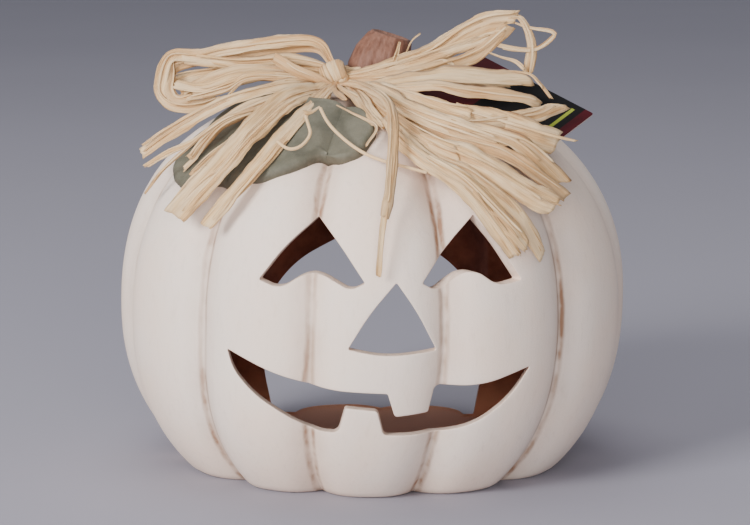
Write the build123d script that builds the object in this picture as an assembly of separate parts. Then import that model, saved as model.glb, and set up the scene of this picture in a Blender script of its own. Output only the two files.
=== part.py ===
from build123d import *
import os
from math import asin, cos, degrees, radians, sin, tan

# A slip-cast ceramic pumpkin figure with a cut face, an arched back opening, a sculpted leaf,
# a leaning stem, a raffia bow and a card hang tag. Millimetres and degrees.
# The origin is at the middle of the base, +Z is up and the face looks along -Y.

os.makedirs("parts", exist_ok=True)

# Lobed body
BODY_RADIUS = 127.0  # over the lobe crests at the widest height
BELLY_HEIGHT = 80.0  # height of the widest section
BODY_HALF_HEIGHT = 108.5  # belly to crown, before the foot is cut flat
FULLNESS = 2.35  # exponent of the side profile: 2 is an ellipse, more is squarer
WALL = 5.5
FLOOR = 5.0
GROOVES = (-42, -14, 16, 48, 82, 115, 147, 180, 213, 248, 283)  # bearings from the front
GROOVE_AT_BELLY = 0.945  # groove radius as a share of the crest radius
GROOVE_AT_FOOT = 0.88
GROOVE_AT_CROWN = 0.915
FOOT_TWIST = -3.0  # the grooves lean by this much from belly to foot
CROWN_LATITUDE = 80.0
CAVITY_LATITUDE = 78.0
DIMPLE_RADIUS = 90.0  # the crown is dished by a sphere around the stem
DIMPLE_BOTTOM = 180.0
BODY_SECTIONS = 12

# Face cuts, measured in the front view where they meet the front wall
FACE_PLANE = -112.0  # depth of the front wall behind the face
CUT_START = -150.0
CUT_DEPTH = 82.0
RIGHT_EYE_SLANT = -0.42  # sideways drift of the right eye's cut, per unit of depth
TOOTH_WIDTH = 15.0
TOOTH_ROOT = 20.0  # long enough to run into the lip
UPPER_TOOTH = (17.9, 46.2)  # middle and free end
LOWER_TOOTH = (-6.0, 49.6)
BACK_CUT_START = 60.0
BACK_CUT_DEPTH = 90.0

# Leaf, stem and bow
LEAF_THICKNESS = 3.5
LEAF_PLAN_HEIGHT = 120.0  # the leaf's outline is cut upwards from here
LEAF_RIM = [  # outline seen from above
    (-96, -42), (-93, -56), (-84, -67), (-71, -75.5), (-57, -87), (-44, -92), (-32, -90), (-23, -85.5),
    (-14, -91.5), (-4, -89.5), (1, -78), (-3, -63), (-14, -53), (-27, -45), (-37, -28), (-46, -9),
    (-60, -3), (-76, -11), (-89, -24)]
STEM_CORNER = 0.36  # corner radius as a share of the stem's width
STEM_SECTIONS = [  # height, middle, width and tilt
    (DIMPLE_BOTTOM - 1.0, 3.0, 37.0, 0.0),
    (190.0, 3.0, 35.0, 0.0),
    (199.0, 3.2, 32.5, 4.0),
    (206.0, 5.0, 28.5, 11.0),
    (213.8, 9.0, 22.0, 17.0),
]
BAND_THICKNESS = 1.8
BAND_HEIGHTS = (190.0, 198.0)
KNOT_CENTRE = (-19.0, -18.0, 195.0)
KNOT_RADII = (7.5, 6.5, 7.0)

# Hang tag
TAG_LENGTH = 75.0
TAG_WIDTH = 50.0
TAG_THICKNESS = 0.6
TAG_HOLE = 4.0
TAG_HOLE_INSET = 7.0  # from the short edge to the hole's centre
TAG_CORNER_RADIUS = 1.5
TIE_ABOVE = 5.0  # how far the tie stands off the card before it turns
TIE_BELOW = 4.0
TAG_CORNER = (107.4, -42.0, 178.8)  # the corner farthest right
TAG_LONG = (-0.784, 0.500, 0.367)  # from that corner along the long edge
TAG_SHORT = (-0.616, -0.704, -0.352)  # from that corner along the short edge

LOOP_STRAND = 3.6
TAIL_STRAND = 3.0
THREAD = 1.6
TIE_STRAND = 2.0
ARC_SHARE = 0.45  # share of the shorter run that a strand's arc may take

# Every raffia strand's route, from the knot outwards
STRANDS = {
    "left_loop": (LOOP_STRAND, [
        (-20, -17, 199), (-31, -16, 207), (-52, -14, 210), (-76, -12, 207), (-97, -12, 203),
        (-106, -15, 195), (-102, -21, 186), (-86, -25, 186), (-62, -27, 192), (-42, -25, 196),
        (-22, -19, 195)]),
    "left_tail_back": (TAIL_STRAND, [
        (-22, -16, 192), (-40, -26, 192), (-60, -33, 187), (-77, -37, 179), (-93, -37, 169),
        (-108, -33, 158)]),
    "left_tail_upper": (TAIL_STRAND, [
        (-22, -19, 192), (-43, -42, 191), (-62, -52, 182), (-80, -50, 173), (-97, -44, 162),
        (-110, -35, 152)]),
    "left_tail_short": (TAIL_STRAND, [
        (-22, -20, 188.8), (-43, -54, 186.4), (-65, -66, 177), (-85, -65, 164), (-101, -58, 150),
        (-109, -49, 139)]),
    "left_tail_wide": (LOOP_STRAND, [
        (-22, -20, 195), (-35, -59, 189), (-57, -77, 175), (-75, -87, 157), (-93, -86, 133)]),
    "left_tail_front": (TAIL_STRAND, [
        (-19.5, -22, 193), (-25, -69, 189.5), (-42, -86, 178), (-57, -97, 161), (-77, -99, 134)]),
    "right_loop": (LOOP_STRAND, [
        (-16, -16, 199), (4, -21, 200.5), (22, -21, 206), (39, -19, 214), (57, -18, 221),
        (71, -18, 223), (77, -21, 213), (73, -28, 201), (58, -36, 197.5), (36, -41, 197.5),
        (14, -35, 196.5), (-14, -18, 194.5)]),
    "right_loop_inner": (TAIL_STRAND, [
        (-16, -20.5, 198), (4, -27.5, 199.5), (22, -26.5, 203), (36, -24, 207), (49, -22, 212),
        (61, -21, 216)]),
    "right_tail_upper": (TAIL_STRAND, [
        (-14, -19, 192), (14, -47, 191.5), (29, -54, 192), (47, -55, 190), (66, -53, 188),
        (85, -50, 185)]),
    "right_tail_curl": (TAIL_STRAND, [
        (-15, -21.5, 195.8), (7, -57, 194.4), (26, -75, 186), (49, -78, 179), (70, -68, 179),
        (90, -57, 184)]),
    "right_tail_wide": (LOOP_STRAND, [
        (-16.5, -21, 192.5), (2, -65, 189), (19, -84, 178.5), (42, -91, 170), (65, -90, 160),
        (83, -85, 148)]),
    "right_tail_long": (TAIL_STRAND, [
        (-16.3, -21, 189.1), (2.5, -71, 183.7), (18, -92, 172), (42, -100, 159), (64, -101, 145),
        (81, -97, 131)]),
    "right_tail_low": (TAIL_STRAND, [
        (-20.2, -21, 189), (-9.5, -63, 185.5), (-3, -88, 175), (18, -103, 159), (38, -109, 147),
        (57, -112, 132), (72, -110, 118)]),
    "centre_tail": (TAIL_STRAND, [
        (-18, -21, 197), (-9, -63, 193), (4, -92, 181), (9, -109, 165), (7, -115.5, 151),
        (5, -123, 132), (2, -129, 112)]),
    "front_tendril": (THREAD, [
        (-25, -72, 185), (-22.5, -81, 180.5), (-17, -88, 175), (-8, -95, 168.5), (1, -100, 164.5),
        (13, -106, 162), (25, -108, 159)]),
    "hook_tendril": (THREAD, [
        (-32, -78, 182), (-30.5, -84, 178.5), (-29, -90, 174.5), (-34, -95, 169), (-41, -95.5, 168),
        (-45, -93, 172)]),
}


def profile(latitude, wall):
    """Crest radius and height at a latitude of the body, moved inwards by a wall."""
    power = 2.0 / FULLNESS
    rise = abs(sin(radians(latitude))) ** power
    radius = (BODY_RADIUS - wall) * cos(radians(latitude)) ** power
    half_height = BODY_HALF_HEIGHT - wall
    return radius, BELLY_HEIGHT + (half_height if latitude > 0 else -half_height) * rise


def latitude_of(height, wall):
    """Latitude at which the profile reaches a height."""
    share = abs(height - BELLY_HEIGHT) / (BODY_HALF_HEIGHT - wall)
    latitude = degrees(asin(share ** (FULLNESS / 2.0)))
    return latitude if height > BELLY_HEIGHT else -latitude


def groove_share(latitude):
    """Groove radius as a share of the crest radius."""
    edge = GROOVE_AT_CROWN if latitude > 0 else GROOVE_AT_FOOT
    reach = CROWN_LATITUDE if latitude > 0 else latitude_of(0.0, 0.0)
    blend = (sin(radians(latitude)) / sin(radians(reach))) ** 2
    return GROOVE_AT_BELLY + (edge - GROOVE_AT_BELLY) * blend


def at_bearing(bearing, radius, height):
    """Point at a bearing counted from the front towards the right."""
    return Vector(radius * sin(radians(bearing)), -radius * cos(radians(bearing)), height)


def lobed_ring(latitude, wall):
    """Closed wire of one arc for each lobe."""
    radius, height = profile(latitude, wall)
    lean = FOOT_TWIST * min(0.0, latitude) / latitude_of(0.0, 0.0)
    bearings = [groove + lean for groove in GROOVES]
    arcs = []
    for start, stop in zip(bearings, bearings[1:] + [bearings[0] + 360.0]):
        groove_radius = radius * groove_share(latitude)
        arcs.append(ThreePointArc(
            at_bearing(start, groove_radius, height),
            at_bearing((start + stop) / 2.0, radius, height),
            at_bearing(stop, groove_radius, height)))
    return Wire(arcs)


def lobed_solid(low, high, wall):
    """Solid of the lobed body between two latitudes, dished at the crown."""
    step = (high - low) / (BODY_SECTIONS - 1)
    lobes = Solid.make_loft([lobed_ring(low + i * step, wall) for i in range(BODY_SECTIONS)])
    return lobes - Pos(0, 0, DIMPLE_BOTTOM + DIMPLE_RADIUS) * Sphere(DIMPLE_RADIUS + wall)


def front_outline(edges, slant=0.0):
    """Cutter through the front wall; the outline's points are (x, z) where it meets the wall."""
    shift = slant * (CUT_START - FACE_PLANE)
    outline = Face(Wire(edges)).moved(Location((shift, CUT_START, 0)))
    return extrude(outline, amount=CUT_DEPTH, dir=Vector(slant, 1, 0).normalized())


def flat(x, z):
    """Point of an outline in the front view."""
    return Vector(x, 0, z)


def left_eye():
    return front_outline([
        ThreePointArc(flat(-53.4, 109), flat(-40.7, 123.8), flat(-25.2, 137.8)),
        ThreePointArc(flat(-25.2, 137.8), flat(-15.0, 125.3), flat(-3.8, 109.2)),
        Spline(flat(-3.8, 109.2), flat(-10.5, 106.8), flat(-27.7, 112.5), flat(-43.4, 106.6),
               flat(-53.4, 109)),
    ])


def right_eye():
    return front_outline([
        ThreePointArc(flat(23.0, 108.6), flat(35.1, 125.1), flat(46.9, 138.2)),
        ThreePointArc(flat(46.9, 138.2), flat(57.9, 125.4), flat(69.8, 107.7)),
        Spline(flat(69.8, 107.7), flat(60.6, 106.6), flat(46.2, 113.2), flat(30.1, 105.6),
               flat(23.0, 108.6)),
    ], RIGHT_EYE_SLANT)


def nose():
    return front_outline([
        ThreePointArc(flat(-11.6, 78.3), flat(-2, 93.6), flat(11, 109.4)),
        ThreePointArc(flat(11, 109.4), flat(21.1, 93.9), flat(29.6, 76.7)),
        ThreePointArc(flat(29.6, 76.7), flat(5.4, 75.8), flat(-11.6, 78.3)),
    ])


def tooth(middle, low, high):
    """Square tooth between two heights, as deep as the face cuts."""
    block = Box(TOOTH_WIDTH, CUT_DEPTH, high - low)
    return block.moved(Location((middle, CUT_START + CUT_DEPTH / 2, (low + high) / 2)))


def mouth():
    """A smile with one tooth hanging from the upper lip and one standing on the lower lip."""
    smile = front_outline([
        Spline(flat(-68.6, 75), flat(-46, 65.6), flat(-19.9, 58.9), flat(8, 57.4), flat(50, 59.4),
               flat(74.2, 65.8)),
        Spline(flat(74.2, 65.8), flat(62.2, 50.6), flat(42.8, 39.1), flat(16, 35.8), flat(-10, 36),
               flat(-27, 38), flat(-43.5, 46.6), flat(-60, 58.6), flat(-68.6, 75)),
    ])
    upper_middle, upper_end = UPPER_TOOTH
    lower_middle, lower_end = LOWER_TOOTH
    smile -= tooth(upper_middle, upper_end, upper_end + TOOTH_ROOT)
    return smile - tooth(lower_middle, lower_end - TOOTH_ROOT, lower_end)


def back_opening():
    """Arch cut through the back wall down to the floor."""
    outline = Face(Wire([
        Line(flat(-52, FLOOR), flat(52, FLOOR)),
        Spline(flat(52, FLOOR), flat(57.5, 28), flat(56, 56), flat(42, 79.5), flat(0, 96.5),
               flat(-42, 79.5), flat(-56, 56), flat(-57.5, 28), flat(-52, FLOOR)),
    ]))
    return extrude(outline.moved(Location((0, BACK_CUT_START, 0))), amount=BACK_CUT_DEPTH, dir=(0, 1, 0))


def pumpkin_shell(body):
    cavity = lobed_solid(latitude_of(FLOOR, WALL), CAVITY_LATITUDE, WALL)
    return body - cavity - left_eye() - right_eye() - nose() - mouth() - back_opening()


def leaf(body):
    """Leaf of even thickness that lies on the body's upper left shoulder."""
    swollen = lobed_solid(0.0, CROWN_LATITUDE, -LEAF_THICKNESS)
    rim = [Vector(x, y, LEAF_PLAN_HEIGHT) for x, y in LEAF_RIM]
    plan = Face(Wire([Spline(rim, periodic=True)]))
    return (swollen & extrude(plan, amount=BODY_HALF_HEIGHT, dir=(0, 0, 1))) - body


def stem_section(height, middle, width, tilt):
    """Rounded square, tipped towards +X."""
    plane = Plane((middle, 0, height), z_dir=Vector(sin(radians(tilt)), 0, cos(radians(tilt))))
    return (plane * RectangleRounded(width, width, width * STEM_CORNER)).face().outer_wire()


def stem(swell=0.0):
    """Leaning stem, square with rounded corners, cut off at a tilt."""
    return Solid.make_loft([stem_section(z, x, width + swell, tilt) for z, x, width, tilt in STEM_SECTIONS])


def stem_band(stem_solid):
    """Raffia wrapped round the stem, level with the knot."""
    low, high = BAND_HEIGHTS
    slab = Box(BODY_RADIUS, BODY_RADIUS, high - low).moved(Location((0, 0, (low + high) / 2)))
    return (stem(2 * BAND_THICKNESS) & slab) - stem_solid


def bow_knot():
    """Knot of the bow at the front left of the stem."""
    ball = Solid.make_sphere(1.0, angle1=-90, angle2=90, angle3=360)
    return scale(ball, KNOT_RADII).moved(Location(KNOT_CENTRE))


def strand(route, thickness):
    """Round strand: straight runs joined by arcs as large as the runs allow."""
    points = [Vector(point) for point in route]
    radii = []
    for before, corner, after in zip(points, points[1:], points[2:]):
        run_in = corner - before
        run_out = after - corner
        turn = radians(run_in.get_angle(run_out))
        radii.append(ARC_SHARE * min(run_in.length, run_out.length) / tan(turn / 2.0))
    path = FilletPolyline(*points, radius=radii)
    start = Plane(points[0], z_dir=points[1] - points[0])
    return sweep(start * Circle(thickness / 2.0), path=path), radii, path.length


def tag_axes():
    """Unit vectors along the card's long edge and short edge, and its normal."""
    long_way = Vector(TAG_LONG).normalized()
    normal = long_way.cross(Vector(TAG_SHORT)).normalized()
    return long_way, normal.cross(long_way), normal


def tag_hole_centre():
    long_way, short_way, _ = tag_axes()
    along = TAG_LENGTH - TAG_HOLE_INSET
    return Vector(TAG_CORNER) + long_way * along + short_way * (TAG_WIDTH / 2)


def tag_card():
    long_way, short_way, normal = tag_axes()
    middle = Vector(TAG_CORNER) + long_way * (TAG_LENGTH / 2) + short_way * (TAG_WIDTH / 2)
    plane = Plane(middle, x_dir=long_way, z_dir=normal)
    outline = RectangleRounded(TAG_LENGTH, TAG_WIDTH, TAG_CORNER_RADIUS)
    outline -= Pos(TAG_LENGTH / 2 - TAG_HOLE_INSET, 0) * Circle(TAG_HOLE / 2)
    return extrude(plane * outline, amount=TAG_THICKNESS / 2, both=True)


def tag_tie():
    """Raffia thread from the knot down through the tag's hole and back."""
    _, _, normal = tag_axes()
    above = tag_hole_centre() + normal * TIE_ABOVE
    below = tag_hole_centre() - normal * TIE_BELOW
    route = [
        (-16, -16, 192.5), (4, -24.5, 193), (20, -28, 198.5), (32, -28, 203),
        above + Vector(-1, 0, 3), above, below, below + Vector(-3, 2, -3),
        (28, -24, 188.5), (8, -23, 188), (-12, -20, 189)]
    solid, _, _ = strand(route, TIE_STRAND)
    return solid


def write(name, solid):
    export_step(solid, f"parts/{name}.step")
    print(f"{name}: {solid.volume:.0f} mm3")


def main():
    body = lobed_solid(latitude_of(0.0, 0.0), CROWN_LATITUDE, 0.0)
    write("pumpkin_shell", pumpkin_shell(body))
    write("leaf", leaf(body))
    stem_solid = stem() - body
    write("stem", stem_solid)
    band = stem_band(stem_solid)
    write("stem_band", band)
    knot = bow_knot() - band
    write("bow_knot", knot)
    for name, (thickness, route) in STRANDS.items():
        solid, radii, length = strand(route, thickness)
        print(name, "radii", [round(radius, 1) for radius in radii], "length", round(length, 1))
        write(name, solid - knot)
    write("tag_card", tag_card())
    write("tag_tie", tag_tie() - knot)


main()
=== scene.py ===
import cmath
import math
import random

import bpy
import numpy as np
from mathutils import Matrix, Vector, geometry


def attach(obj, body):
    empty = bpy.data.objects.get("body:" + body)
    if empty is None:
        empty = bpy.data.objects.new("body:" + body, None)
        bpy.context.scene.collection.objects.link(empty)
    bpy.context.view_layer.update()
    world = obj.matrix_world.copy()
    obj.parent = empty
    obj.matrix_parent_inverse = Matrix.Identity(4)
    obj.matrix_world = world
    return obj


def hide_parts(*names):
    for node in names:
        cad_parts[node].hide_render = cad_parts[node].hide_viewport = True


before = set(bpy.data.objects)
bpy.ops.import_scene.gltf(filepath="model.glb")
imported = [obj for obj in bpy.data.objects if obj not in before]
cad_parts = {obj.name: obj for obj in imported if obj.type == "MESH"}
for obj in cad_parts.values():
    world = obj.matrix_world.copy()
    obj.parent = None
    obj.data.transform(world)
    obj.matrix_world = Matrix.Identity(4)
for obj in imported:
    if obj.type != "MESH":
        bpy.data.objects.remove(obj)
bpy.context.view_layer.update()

# A ceramic pumpkin figure with a cut face, a leaf, a stem, a raffia bow and a hang tag.
# Shapes are worked out in millimetres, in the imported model's frame, and built in metres.

MM = 0.001  # metres

# ---------------------------------------------------------------- camera
FOCAL_PIXELS = 3013.0
IMAGE_WIDTH = 750.0
SENSOR_WIDTH = 36.0
SIDE_SHIFT_PIXELS = 2.0
PITCH_DOWN = 9.4
CAMERA_PLACE = (0.0, -1.5, 0.347)

camera_data = bpy.data.cameras.new("camera")
camera_data.sensor_width = SENSOR_WIDTH
camera_data.lens = SENSOR_WIDTH * FOCAL_PIXELS / IMAGE_WIDTH
camera_data.shift_x = SIDE_SHIFT_PIXELS / IMAGE_WIDTH
camera = bpy.data.objects.new("camera", camera_data)
camera.location = CAMERA_PLACE
camera.rotation_euler = (math.radians(90.0 - PITCH_DOWN), 0.0, 0.0)
bpy.context.scene.collection.objects.link(camera)
bpy.context.scene.camera = camera

# ---------------------------------------------------------------- the body's driving sizes
BODY_RADIUS = 127.0
BELLY_HEIGHT = 80.0
BODY_HALF_HEIGHT = 108.5
FULLNESS = 2.35
WALL = 5.5
FLOOR = 5.0
GROOVES = np.array([-42, -14, 16, 48, 82, 115, 147, 180, 213, 248, 283], float)
LOBE_WIDTHS = np.diff(np.append(GROOVES, GROOVES[0] + 360.0))
LOBES = len(GROOVES)
FOOT_LATITUDE = -44.3
FOOT_TWIST = -3.0
FOOT_ROUNDING = 3.0
GROOVE_DEPTH = 7.0  # at the belly
GROOVE_FOOT_EXTRA = 4.0
GROOVE_CROWN_LOSS = 1.0
GROOVE_SHARPNESS = 1.5
DIMPLE_DEPTH = 8.5
DIMPLE_REACH = 24.0
WANDER_REACH = 60.0  # the wall wanders fully beyond this distance from the axis
POWER = 2.0 / FULLNESS
FIXED_POINT_STEPS = 14
FIXED_POINT_EASE = 0.8


# ---------------------------------------------------------------- small helpers
def smooth_step(value, low, high):
    share = np.clip((value - low) / (high - low), 0.0, 1.0)
    return share * share * (3.0 - 2.0 * share)


def new_object(name, vertices, faces):
    """Smooth mesh object from points in millimetres."""
    mesh = bpy.data.meshes.new(name)
    mesh.from_pydata((np.asarray(vertices, float) * MM).tolist(), [], [list(f) for f in faces])
    mesh.validate()
    mesh.shade_smooth()
    piece = bpy.data.objects.new(name, mesh)
    bpy.context.scene.collection.objects.link(piece)
    return piece


def add_attributes(piece, values, *names):
    """One vertex attribute for each column of values."""
    for name, column in zip(names, values.T):
        layer = piece.data.attributes.new(name, "FLOAT", "POINT")
        layer.data.foreach_set("value", np.asarray(column, np.float32))


def ring_faces(rings, count, flipped=False):
    """Quads that join closed rings of count points, listed one ring after another."""
    faces = []
    for low in range(0, (rings - 1) * count, count):
        for j in range(count):
            k = (j + 1) % count
            quad = [low + j, low + k, low + count + k, low + count + j]
            faces.append(quad[::-1] if flipped else quad)
    return faces


def distances(points):
    """Distance of each point along the line through them."""
    return np.concatenate([[0], np.cumsum(np.linalg.norm(np.diff(points, axis=0), axis=1))])


def resample(points, along, even):
    return np.stack([np.interp(even, along, column) for column in points.T], -1)


def place(piece, material, node):
    """Gives the piece its material and its body, and hides the CAD node that it stands for."""
    piece.data.materials.append(material)
    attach(piece, "root")
    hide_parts(node)


# ---------------------------------------------------------------- the lobed body
def body_points(lobe, latitude, wall=0.0, softness=1.0):
    """Points of the lobed wall. lobe counts the lobes from the groove left of the nose."""
    lobe = np.asarray(lobe, float)
    latitude = np.asarray(latitude, float)
    index = np.floor(lobe).astype(int) % LOBES
    across = lobe - np.floor(lobe)
    lean = FOOT_TWIST * np.clip(latitude, None, 0.0) / FOOT_LATITUDE
    bearing = np.radians(GROOVES[index] + LOBE_WIDTHS[index] * across + lean)
    sine = np.sin(np.radians(latitude))
    radius = (BODY_RADIUS - wall) * np.clip(np.cos(np.radians(latitude)), 0, 1) ** POWER
    height = BELLY_HEIGHT + (BODY_HALF_HEIGHT - wall) * np.sign(sine) * np.abs(sine) ** POWER
    # across the foot and down the crown the grooves run in along the wall's own normal
    steep_out = (radius / BODY_RADIUS) ** (FULLNESS - 1.0) / BODY_RADIUS
    steep_up = (np.clip(height - BELLY_HEIGHT, 0, None) / BODY_HALF_HEIGHT) ** (FULLNESS - 1.0)
    steep_up = steep_up / BODY_HALF_HEIGHT
    length = np.hypot(steep_out, steep_up) + 1e-9
    foot_extra = GROOVE_FOOT_EXTRA * (latitude / FOOT_LATITUDE) ** 2
    depth = GROOVE_DEPTH + np.where(latitude < 0, foot_extra, -GROOVE_CROWN_LOSS * sine ** 2)
    depth = depth * smooth_step(radius, 4.0, 45.0) * softness
    groove = depth * (1.0 - np.sin(np.pi * across)) ** GROOVE_SHARPNESS
    out = radius - groove * steep_out / length
    up = height - groove * steep_up / length
    up = up - np.where(latitude > 0, DIMPLE_DEPTH * np.exp(-(out / DIMPLE_REACH) ** 2), 0.0)
    # the hand-made body wanders a little from its formula
    wander = 0.35 * np.sin(2.0 * bearing + 0.05 * height + 0.6)
    wander = wander + 0.25 * np.sin(5.0 * bearing - 0.06 * height)
    out = out + wander * np.clip(out / WANDER_REACH, 0.0, 1.0)
    bottom = FLOOR if wall else 0.0
    above = np.clip(up - bottom, 0.0, FOOT_ROUNDING)
    out = out - (FOOT_ROUNDING - np.sqrt(FOOT_ROUNDING ** 2 - (FOOT_ROUNDING - above) ** 2))
    return np.stack([out * np.sin(bearing), -out * np.cos(bearing), up], -1)


def lobe_at(bearing):
    """Lobe coordinate of a bearing in degrees."""
    turned = (np.asarray(bearing, float) - GROOVES[0]) % 360.0 + GROOVES[0]
    index = np.clip(np.searchsorted(GROOVES, turned, "right") - 1, 0, LOBES - 1)
    return index + (turned - GROOVES[index]) / LOBE_WIDTHS[index]


def latitude_at(height, wall=0.0):
    share = (np.asarray(height, float) - BELLY_HEIGHT) / (BODY_HALF_HEIGHT - wall)
    share = np.clip(share, -1.0, 1.0)
    return np.degrees(np.sign(share) * np.arcsin(np.abs(share) ** (1.0 / POWER)))


def locate(x, z, wall, back):
    """(lobe, latitude) of the wall's points that a front or back view shows at x, z."""
    guess_x, guess_z = np.array(x, float), np.array(z, float)
    for _ in range(FIXED_POINT_STEPS):
        latitude = np.clip(latitude_at(guess_z, wall), FOOT_LATITUDE, 89.0)
        radius = (BODY_RADIUS - wall) * np.cos(np.radians(latitude)) ** POWER
        bearing = np.degrees(np.arcsin(np.clip(guess_x / radius, -0.98, 0.98)))
        bearing = 180.0 - bearing if back else bearing
        lean = FOOT_TWIST * np.clip(latitude, None, 0.0) / FOOT_LATITUDE
        lobe = lobe_at(bearing - lean)
        point = body_points(lobe, latitude, wall)
        guess_x = guess_x + (x - point[..., 0]) * FIXED_POINT_EASE
        guess_z = guess_z + (z - point[..., 2]) * FIXED_POINT_EASE
    return lobe, latitude


def locate_plan(x, y, softness=1.0):
    """(lobe, latitude) of the crown's points that a view from above shows at x, y."""
    radius = np.hypot(x, y)
    lobe = lobe_at(np.degrees(np.arctan2(x, -np.asarray(y))))
    guess = np.array(radius, float)
    for _ in range(FIXED_POINT_STEPS):
        latitude = np.degrees(np.arccos(np.clip(guess / BODY_RADIUS, 0.0, 1.0) ** (1.0 / POWER)))
        point = body_points(lobe, latitude, softness=softness)
        guess = guess + (radius - np.hypot(point[..., 0], point[..., 1])) * FIXED_POINT_EASE
    return lobe, latitude


def body_normals(lobe, latitude, softness=1.0):
    """Outward unit normals of the body, by small steps."""
    step = 0.02
    along = body_points(lobe + step, latitude, softness=softness)
    along = along - body_points(lobe - step, latitude, softness=softness)
    up = body_points(lobe, np.clip(latitude + 0.5, None, 89.9), softness=softness)
    up = up - body_points(lobe, latitude - 0.5, softness=softness)
    normal = np.cross(along, up)
    return normal / (np.linalg.norm(normal, axis=-1, keepdims=True) + 1e-12)


# ---------------------------------------------------------------- outlines of the cuts
OUTLINE_STEP = 1.2  # spacing of an outline's points
OUTLINE_LEAST = 0.05  # points closer than this are one
OUTLINE_TURN = 0.35  # most that a fillet turns from one point to the next, in radians
OUTLINE_STRAIGHT = 0.02  # a corner that turns less than this has no fillet


def rounded_outline(corners):
    """Closed loop through fillets. A corner is (x, z) or (x, z, radius)."""
    points = [complex(*corner[:2]) for corner in corners]
    loop = []
    for i, (here, after) in enumerate(zip(points, points[1:] + points[:1])):
        run_in, run_out = here - points[i - 1], after - here
        turn = cmath.phase(run_out / run_in)
        if abs(turn) < OUTLINE_STRAIGHT:
            loop.append(here)
            continue
        slope = math.tan(abs(turn) / 2)
        trim = 0.48 * min(abs(run_in), abs(run_out))  # the largest fillet
        if len(corners[i]) == 3:
            trim = min(trim, corners[i][2] * slope)
        radius = trim / slope
        heading = run_in / abs(run_in)
        spoke = -1j * heading * math.copysign(radius, turn)
        centre = here - heading * trim - spoke
        pieces = max(radius * abs(turn) / OUTLINE_STEP, abs(turn) / OUTLINE_TURN)
        pieces = max(2, math.ceil(pieces))
        loop += [centre + spoke * cmath.exp(1j * turn * k / pieces) for k in range(pieces + 1)]
    filled = []
    for here, after in zip(loop, loop[1:] + loop[:1]):
        if abs(after - here) >= OUTLINE_LEAST:
            pieces = max(1, round(abs(after - here) / OUTLINE_STEP))
            filled += [here + (after - here) * k / pieces for k in range(pieces)]
    loop = np.array([(point.real, point.imag) for point in filled])
    area = np.sum(loop[:, 0] * np.roll(loop[:, 1], -1) - loop[:, 1] * np.roll(loop[:, 0], -1))
    return loop if area > 0 else loop[::-1]


def outline_normals(loop):
    """Unit normals that point away from the middle of a counter-clockwise loop."""
    along = np.roll(loop, -1, 0) - np.roll(loop, 1, 0)
    normal = np.stack([along[:, 1], -along[:, 0]], -1)
    return normal / np.linalg.norm(normal, axis=1, keepdims=True)


LEFT_EYE = [(-25.2, 137.8, 0.5), (-41.3, 124.9), (-53.4, 109.2, 0.8), (-43.6, 105.3), (-28, 114.7),
            (-10.4, 105.8), (-3.7, 109.3, 0.8), (-15.2, 126.1)]
RIGHT_EYE = [(46.9, 138.3, 0.5), (35, 125.7), (23, 108.6, 0.9), (29.8, 104.4), (45.4, 115.6),
             (58.8, 105.8), (69.8, 107.7, 0.8), (58, 126.1)]
NOSE = [(11, 109.5, 0.7), (-1.5, 95.1), (-11.7, 78.3, 0.8), (5.5, 75.1), (29.7, 76.7, 0.8),
        (20.6, 95.6)]
MOUTH = [(-68.7, 75.1, 0.4), (-46, 64.9), (-24, 58.6), (6.9, 57.1, 1.2), (10.2, 45.6, 1.8),
         (25.8, 46.7, 1.2), (28.9, 59.8, 3.0), (51, 58.7), (74.3, 65.9, 0.4), (64.5, 51.5),
         (48, 39.5), (26, 35.3), (4.9, 36.4, 2.6), (2, 48.7, 2.2), (-12.9, 50.1, 1.3),
         (-16.3, 37.4, 4.0), (-27, 37), (-38, 42.7), (-56, 54.5), (-65.8, 65.4)]
BACK_ARCH = [(-53, 3, 5), (53, 3, 5), (60, 30), (59, 60), (43, 80.8), (0, 103), (-43, 80.8),
             (-59, 60), (-60, 30)]

# each cut: its outline, whether it is in the back, and its sideways drift towards the inside
CUTS = [(LEFT_EYE, False, 1.0), (RIGHT_EYE, False, -3.4), (NOSE, False, 0.0), (MOUTH, False, 0.0),
        (BACK_ARCH, True, 0.0)]
EDGE_ROUNDING = 0.5  # rounding of a cut's outer and inner edges
# the inside and cut attributes of each ring of a cut's wall, from the outside in
CUT_MARKS = [(0.0, 0.0), (0.0, 1 / 3), (0.0, 2 / 3), (0.0, 1.0), (0.0, 1.0), (0.0, 1.0),
             (0.3, 1.0), (0.6, 1.0), (0.85, 0.6), (1.0, 0.0)]
CUT_RAKE = -0.3  # a cut's inner outline is this much smaller all round
FLOOR_LIP = 1.0  # least height of the back opening's sill over the floor


# ---------------------------------------------------------------- the shell's mesh
COLUMNS_PER_LOBE = 30
OUTER_ROWS = 118
INNER_ROWS = 62
FOOT_ROWS = (0.0, 0.4, 0.9, 1.6, 2.6)  # distances up the wall from its foot
CROWN_END = 89.6
FRONT_PATCH = (0.0, 3.0, 24.0, 148.0)  # lobes from and to, heights from and to
BACK_PATCH = (5.7, 8.3, 1.0, 108.0)
PATCH_LOBE_WIDTH = 66.0  # a lobe's width where a patch is flattened to be triangulated
PATCH_GAP = 0.9  # least distance of a patch's inner points from a cut
DISC_SHARES = (1.0, 0.96, 0.9, 0.8, 0.65, 0.5, 0.35, 0.2, 0.08)
GROOVE_FAR = 40.0  # groove distance given to the foot, the floor and the crown's cap
WELD_DISTANCE = 0.004


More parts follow.
